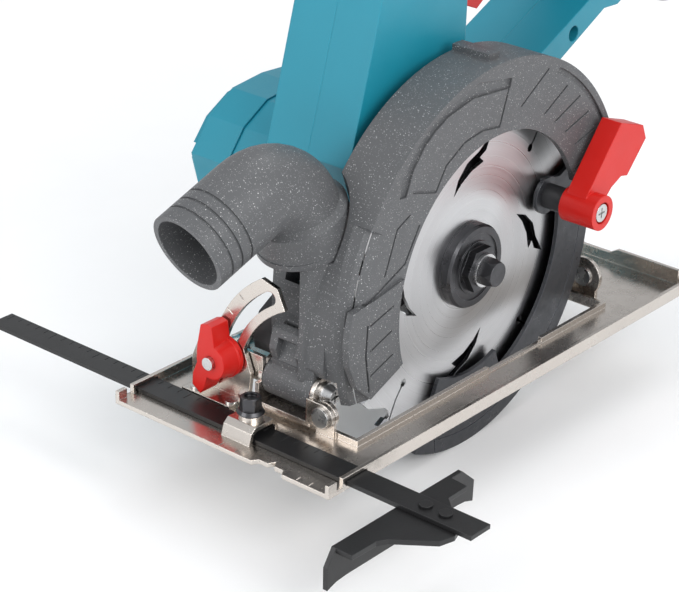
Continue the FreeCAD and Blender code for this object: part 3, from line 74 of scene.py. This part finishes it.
def start_material(name):
    """A new material with its tree, Principled shader and object coordinates."""
    material = bpy.data.materials.new(name)
    material.use_nodes = True
    tree = material.node_tree
    tree.nodes.clear()
    shader = add(tree, "ShaderNodeBsdfPrincipled")
    output = add(tree, "ShaderNodeOutputMaterial")
    tree.links.new(shader.outputs["BSDF"], output.inputs["Surface"])
    place = add(tree, "ShaderNodeTexCoord").outputs["Object"]
    return material, tree, shader, place


def noise(tree, place, size, detail=2.0, roughness=0.5):
    """Noise whose grains are about size metres across, from 0 to 1."""
    inputs = {"Vector": place, "Scale": 1.0 / size, "Detail": detail, "Roughness": roughness}
    return add(tree, "ShaderNodeTexNoise", inputs).outputs["Fac"]


def noise_by_distance(tree, distance, scale, **inputs):
    """Noise that changes only with a distance."""
    inputs = {"W": distance, "Scale": scale, **inputs}
    return add(tree, "ShaderNodeTexNoise", inputs, noise_dimensions="1D").outputs["Fac"]


def remap(tree, value, low, high, to_low, to_high):
    inputs = {"Value": value, "From Min": low, "From Max": high, "To Min": to_low, "To Max": to_high}
    return add(tree, "ShaderNodeMapRange", inputs).outputs["Result"]


def blend_colours(tree, factor, first, second):
    """Mixes two colours, each an RGB triple or a colour socket."""
    node = add(tree, "ShaderNodeMix", {"Factor": factor}, data_type="RGBA")
    for index, colour in ((6, first), (7, second)):
        if isinstance(colour, bpy.types.NodeSocket):
            tree.links.new(colour, node.inputs[index])
        else:
            node.inputs[index].default_value = (*colour, 1.0)
    return node.outputs[2]


def shade(colour, factor):
    return tuple(min(1.0, channel * factor) for channel in colour)


def shades(colour, factors):
    return [shade(colour, factor) for factor in factors]


def paint_edge_highlight(tree, rim, strength, colour, rim_colour):
    """A colour that goes over to another along the rounded edges: a painted highlight there."""
    return blend_colours(tree, math_node(tree, "MULTIPLY", rim, strength), colour, rim_colour)


def soft_edge(tree, radius):
    """The normal of a surface whose sharp edges are rounded, and a mask that is 1 along those edges."""
    rounded = add(tree, "ShaderNodeBevel", {"Radius": radius}, samples=EDGE_SAMPLES).outputs["Normal"]
    flat = add(tree, "ShaderNodeNewGeometry").outputs["Normal"]
    facing = add(tree, "ShaderNodeVectorMath", {0: rounded, 1: flat}, operation="DOT_PRODUCT")
    return rounded, remap(tree, facing.outputs["Value"], *EDGE_COSINES, 0.0, 1.0)


def bump(tree, height, distance, normal):
    inputs = {"Height": height, "Distance": distance, "Strength": 1.0, "Normal": normal}
    return add(tree, "ShaderNodeBump", inputs).outputs["Normal"]


# ---------------------------------------------------------------- finishes

# moulded plastic
DRIFT_SIZE = 28 * MM
DRIFT_SHADES = (0.92, 1.08)
# how strongly the painted highlight along rounded edges shows in the colour
EDGE_HIGHLIGHT_STRENGTH = 0.6
SMEAR_SIZE = 9 * MM
SMOOTHER, ROUGHER = 0.05, 0.06

# speckled plastic; a layer of flecks is its cell in mm, its largest fleck in cells, and its strength
SPECKLED_EDGE = 0.45 * MM
SPECKLED_DRIFT_SIZE = 22 * MM
SPECKLED_SHADES = (0.92, 1.1)
# the strength and shade of the painted highlight along rounded edges
SPECKLED_HIGHLIGHT_STRENGTH = 0.5
SPECKLED_HIGHLIGHT_SHADE = 1.4
FLECK_LAYERS = ((0.80, 0.27, 0.9), (0.46, 0.28, 0.6))
BARE_SHARE = 0.25
DULL_FLECK = 0.55
SPECKLED_SMEAR_SIZE = 7 * MM
SPECKLED_ROUGHNESS = (0.42, 0.54)
SPECKLED_GRAIN = 0.5 * MM
SPECKLED_RELIEF = 0.04 * MM

# metal
STAIN_SIZE = 18 * MM
STAIN_SHADES = (0.9, 1.06)
# how strongly the painted highlight along rounded edges shows in the colour
METAL_HIGHLIGHT_STRENGTH = 0.7
MARK_SIZE = 5.0 * MM
MARK_BAND = (0.35, 0.7)

# the blade's ground steel; the scales are rings in each metre of radius
BLADE_TONES = ((0.50, 0.50, 0.505), (0.68, 0.68, 0.69))
BLADE_ROUGHNESS = (0.27, 0.36)
BLADE_ANISOTROPY = 0.85
BLADE_EDGE = 0.15 * MM
RING_SCALE, RING_SHARE, RING_RELIEF = 1800.0, 0.55, 0.0012 * MM
BROAD_SCALE, BROAD_SHARE = 160.0, 0.45


def moulded(name, colour, roughness=0.42, grain=0.35, relief=0.03, edge=0.4, edge_highlight_shade=1.18):
    """Moulded plastic: a fine grain, slow colour drift, and a painted highlight along the edges. Sizes in
    mm.
    """
    material, tree, shader, place = start_material(name)
    rounded, rim = soft_edge(tree, edge * MM)
    drift = noise(tree, place, DRIFT_SIZE, 3.0)
    mottled = blend_colours(tree, drift, *shades(colour, DRIFT_SHADES))
    # painted highlight: the colour goes lighter along the rounded edges
    with_edge_highlight = paint_edge_highlight(tree, rim, EDGE_HIGHLIGHT_STRENGTH, mottled, shade(colour, edge_highlight_shade))
    tree.links.new(with_edge_highlight, shader.inputs["Base Color"])
    smear = noise(tree, place, SMEAR_SIZE, 4.0, 0.6)
    gloss = remap(tree, smear, *NOISE_BAND, roughness - SMOOTHER, roughness + ROUGHER)
    tree.links.new(gloss, shader.inputs["Roughness"])
    texture = noise(tree, place, grain * MM, 1.0)
    tree.links.new(bump(tree, texture, relief * MM, rounded), shader.inputs["Normal"])
    return material


def speckled(name, colour, speck_colour):
    """Grey plastic with pale flecks scattered through it."""
    material, tree, shader, place = start_material(name)
    rounded, rim = soft_edge(tree, SPECKLED_EDGE)
    drift = noise(tree, place, SPECKLED_DRIFT_SIZE, 3.0)
    base = blend_colours(tree, drift, *shades(colour, SPECKLED_SHADES))
    # painted highlight: the colour goes lighter along the rounded edges
    base = paint_edge_highlight(tree, rim, SPECKLED_HIGHLIGHT_STRENGTH, base, shade(colour, SPECKLED_HIGHLIGHT_SHADE))
    for cell, largest, strength in FLECK_LAYERS:
        cells = add(tree, "ShaderNodeTexVoronoi", {"Vector": place, "Scale": 1.0 / (cell * MM)})
        pick = add(tree, "ShaderNodeSeparateColor", {"Color": cells.outputs["Color"]})
        reach = remap(tree, pick.outputs["Red"], BARE_SHARE, 1.0, 0.0, largest)
        inside = math_node(tree, "LESS_THAN", cells.outputs["Distance"], reach)
        tint = blend_colours(tree, pick.outputs["Green"], shade(speck_colour, DULL_FLECK), speck_colour)
        base = blend_colours(tree, math_node(tree, "MULTIPLY", inside, strength), base, tint)
    tree.links.new(base, shader.inputs["Base Color"])
    smear = noise(tree, place, SPECKLED_SMEAR_SIZE, 4.0, 0.6)
    tree.links.new(remap(tree, smear, *NOISE_BAND, *SPECKLED_ROUGHNESS), shader.inputs["Roughness"])
    texture = noise(tree, place, SPECKLED_GRAIN, 2.0)
    tree.links.new(bump(tree, texture, SPECKLED_RELIEF, rounded), shader.inputs["Normal"])
    return material


def metal(name, colour, roughness, edge=0.25, ripple=0.02, ripple_size=14.0, patchy=0.35, bright=1.5,
          metallic=1.0):
    """Bare or plated metal: slow ripples from pressing, patchy gloss, and a painted highlight along the
    edges. Sizes in mm.

    ripple is a height as a share of ripple_size; patchy is how far the roughness strays, as a share of it.
    bright is how much lighter the painted edge highlight is.
    """
    material, tree, shader, place = start_material(name)
    rounded, rim = soft_edge(tree, edge * MM)
    stain = noise(tree, place, STAIN_SIZE, 3.0, 0.55)
    stain_and_highlight = blend_colours(tree, stain, *shades(colour, STAIN_SHADES))
    # painted highlight: the stained colour goes lighter along the rounded edges
    stain_and_highlight = paint_edge_highlight(tree, rim, METAL_HIGHLIGHT_STRENGTH, stain_and_highlight, shade(colour, bright))
    tree.links.new(stain_and_highlight, shader.inputs["Base Color"])
    shader.inputs["Metallic"].default_value = metallic
    marks = noise(tree, place, MARK_SIZE, 3.0, 0.6)
    gloss = remap(tree, marks, *MARK_BAND, roughness * (1 - patchy), roughness * (1 + patchy))
    tree.links.new(gloss, shader.inputs["Roughness"])
    waves = noise(tree, place, ripple_size * MM, 1.0)
    tree.links.new(bump(tree, waves, ripple * ripple_size * MM, rounded), shader.inputs["Normal"])
    return material


def blade_finish(name):
    """Steel ground in circles: fine rings about the arbor, and a sheen that fans out from it."""
    material, tree, shader, place = start_material(name)
    shader.inputs["Metallic"].default_value = 1.0
    shader.inputs["Anisotropic"].default_value = BLADE_ANISOTROPY
    flattened = {"Vector": place, "Location": tuple(-ARBOR), "Scale": (1.0, 0.0, 1.0)}
    from_arbor = add(tree, "ShaderNodeMapping", flattened).outputs["Vector"]
    radius = add(tree, "ShaderNodeVectorMath", {0: from_arbor}, operation="LENGTH").outputs["Value"]
    rings = noise_by_distance(tree, radius, RING_SCALE, Detail=3.0, Roughness=0.6)
    broad = noise_by_distance(tree, radius, BROAD_SCALE, Detail=1.0)
    fine_part = math_node(tree, "MULTIPLY", rings, RING_SHARE)
    broad_part = math_node(tree, "MULTIPLY", broad, BROAD_SHARE)
    tone = math_node(tree, "ADD", fine_part, broad_part)
    tree.links.new(blend_colours(tree, tone, *BLADE_TONES), shader.inputs["Base Color"])
    tree.links.new(remap(tree, rings, *NOISE_BAND, *BLADE_ROUGHNESS), shader.inputs["Roughness"])
    rounded, _ = soft_edge(tree, BLADE_EDGE)
    tree.links.new(bump(tree, rings, RING_RELIEF, rounded), shader.inputs["Normal"])
    around = add(tree, "ShaderNodeTangent", direction_type="RADIAL", axis="Y").outputs["Tangent"]
    tree.links.new(around, shader.inputs["Tangent"])
    return material


def nickel_plate(name):
    """Satin nickel over pressed steel."""
    # bright sets its painted edge highlight
    return metal(name, (0.66, 0.61, 0.56), 0.26, edge=0.5, ripple=0.01, ripple_size=20, patchy=0.15,
                 bright=1.3)


# what each material slot of the CAD is drawn with
# a finish's edge shade keyword sets how much lighter its painted edge highlight is
FINISHES = {
    "nickel_steel": nickel_plate,
    "zinc_steel": lambda n: metal(n, (0.60, 0.60, 0.60), 0.28),
    "black_steel": lambda n: moulded(n, (0.009, 0.009, 0.0095), 0.38, 0.8, 0.02, 0.35, edge_highlight_shade=3.2),
    "black_oxide": lambda n: metal(n, (0.085, 0.085, 0.09), 0.36, bright=2.4),
    "speckled_grey": lambda n: speckled(n, (0.088, 0.090, 0.094), (0.62, 0.62, 0.62)),
    "dark_plastic": lambda n: moulded(n, (0.022, 0.022, 0.024), 0.5, 0.5, 0.03, 0.5, edge_highlight_shade=2.2),
    "guard_steel": lambda n: metal(n, (0.05, 0.052, 0.058), 0.40, edge=0.5, bright=2.2, metallic=0.55),
    "blade_steel": blade_finish,
    "carbide": lambda n: metal(n, (0.42, 0.43, 0.45), 0.35),
    "teal_plastic": lambda n: moulded(n, (0.010, 0.235, 0.325), 0.40, 0.5, 0.035, 0.9, edge_highlight_shade=1.3),
    "red_plastic": lambda n: moulded(n, (0.60, 0.008, 0.004), 0.38, 0.7, 0.02, 0.6, edge_highlight_shade=1.25),
    "rotor_iron": lambda n: metal(n, (0.22, 0.22, 0.23), 0.45),
    "copper": lambda n: metal(n, (0.72, 0.34, 0.14), 0.35, ripple=0.08, ripple_size=1.2),
    "board_green": lambda n: moulded(n, (0.02, 0.16, 0.07), 0.35, 0.6, 0.02),
    "cell_wrap": lambda n: moulded(n, (0.06, 0.26, 0.2), 0.3, 1.0, 0.01),
    "brass": lambda n: metal(n, (0.78, 0.56, 0.24), 0.3),
}


def node_slots(record):
    """Which material slot each CAD node is drawn with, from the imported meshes' own material names."""
    known = {entry["slot"] for entry in record["materials"]}
    found = {}
    for name, piece in NODES.items():
        for index, slot in enumerate(piece.material_slots):
            base = slot.material.name.split(".")[0] if slot.material else ""
            if base in known:
                found.setdefault(name, {})[index] = base
    return found


def dress_nodes():
    """Gives every CAD node the finish that its slot names."""
    made = {}
    for name, slots in sorted(node_slots(frame["record"]).items()):
        for index, slot in slots.items():
            if slot not in made:
                made[slot] = FINISHES[slot]("finish_" + slot)
            NODES[name].material_slots[index].material = made[slot]


# ---------------------------------------------------------------- studio

# the camera: its direction from the saw and its roll in degrees, its place in metres, its lens in mm
VIEW_AZIMUTH = 129.248
VIEW_ELEVATION = 25.52
VIEW_ROLL = 1.808
VIEW_PLACE = Vector((0.67100, 0.48383, 0.42003))
LENS = 120.91
SENSOR_WIDTH = 36.0
NEAREST = 0.01

# the point that the lights face; a light is its direction and distance from there, its size and its watts
LIGHT_AIM = Vector((-0.02, -0.02, 0.08))
LIGHTS = {
    "key_light": ((0.35, 1.0, 0.62), 1.7, (1.2, 1.0), 17.0),
    "fill_light": ((1.0, -0.35, 0.55), 1.8, (1.0, 1.2), 11.0),
    "top_light": ((-0.5, -0.1, 1.0), 1.7, (1.2, 1.2), 8.5),
}
SKY_COLOUR = (0.95, 0.97, 1.0, 1.0)
SKY_STRENGTH = 0.68

FLOOR_HALF = 6.0
PAPER_TONES = ((0.93, 0.93, 0.93), (0.96, 0.96, 0.96))
PAPER_FIBRE = 40 * MM
PAPER_ROUGHNESS = 0.9


def camera_axes():
    """Right, up and backward axes of the camera, roll included."""
    azimuth, elevation, roll = (math.radians(a) for a in (VIEW_AZIMUTH, VIEW_ELEVATION, VIEW_ROLL))
    back = Vector((math.sin(azimuth) * math.cos(elevation), -math.cos(azimuth) * math.cos(elevation),
                   math.sin(elevation)))
    level = Vector((math.cos(azimuth), math.sin(azimuth), 0.0))
    upright = back.cross(level)
    right = math.cos(roll) * level + math.sin(roll) * upright
    return right, back.cross(right), back


def place_camera():
    data = bpy.data.cameras.new("camera")
    data.sensor_fit = "HORIZONTAL"
    data.sensor_width = SENSOR_WIDTH
    data.lens = LENS
    data.clip_start = NEAREST
    camera = bpy.data.objects.new("camera", data)
    bpy.context.scene.collection.objects.link(camera)
    turn = Matrix(camera_axes()).transposed().to_4x4()
    camera.matrix_world = Matrix.Translation(VIEW_PLACE) @ turn
    bpy.context.scene.camera = camera


def softbox(name, direction, distance, size, power):
    """A rectangular area light that faces the saw."""
    data = bpy.data.lights.new(name, "AREA")
    data.shape = "RECTANGLE"
    data.size, data.size_y = size
    data.energy = power
    light = bpy.data.objects.new(name, data)
    bpy.context.scene.collection.objects.link(light)
    towards = Vector(direction).normalized()
    light.location = LIGHT_AIM + towards * distance
    light.rotation_euler = towards.to_track_quat("Z", "Y").to_euler()


def lay_floor():
    """A wide sheet of pale paper under the saw, level with its lowest point."""
    mesh = bpy.data.meshes.new("studio_floor")
    maker = bmesh.new()
    ends = ((-1, -1), (1, -1), (1, 1), (-1, 1))
    maker.faces.new([maker.verts.new((x * FLOOR_HALF, y * FLOOR_HALF, 0.0)) for x, y in ends])
    maker.to_mesh(mesh)
    maker.free()
    floor = bpy.data.objects.new("studio_floor", mesh)
    floor.location.z = CAD_BOX[0][2]
    bpy.context.scene.collection.objects.link(floor)
    material, tree, shader, place = start_material("studio_paper")
    fibre = noise(tree, place, PAPER_FIBRE, 4.0)
    tree.links.new(blend_colours(tree, fibre, *PAPER_TONES), shader.inputs["Base Color"])
    shader.inputs["Roughness"].default_value = PAPER_ROUGHNESS
    floor.data.materials.append(material)


def light_studio():
    """An even pale sky and three softboxes."""
    world = bpy.data.worlds.new("studio_world")
    bpy.context.scene.world = world
    world.use_nodes = True
    backdrop = world.node_tree.nodes["Background"]
    backdrop.inputs["Color"].default_value = SKY_COLOUR
    backdrop.inputs["Strength"].default_value = SKY_STRENGTH
    for name, settings in LIGHTS.items():
        softbox(name, *settings)


# ---------------------------------------------------------------- scene

dress_nodes()
place_camera()
lay_floor()
light_studio()
bpy.context.scene.view_settings.view_transform = "Standard"
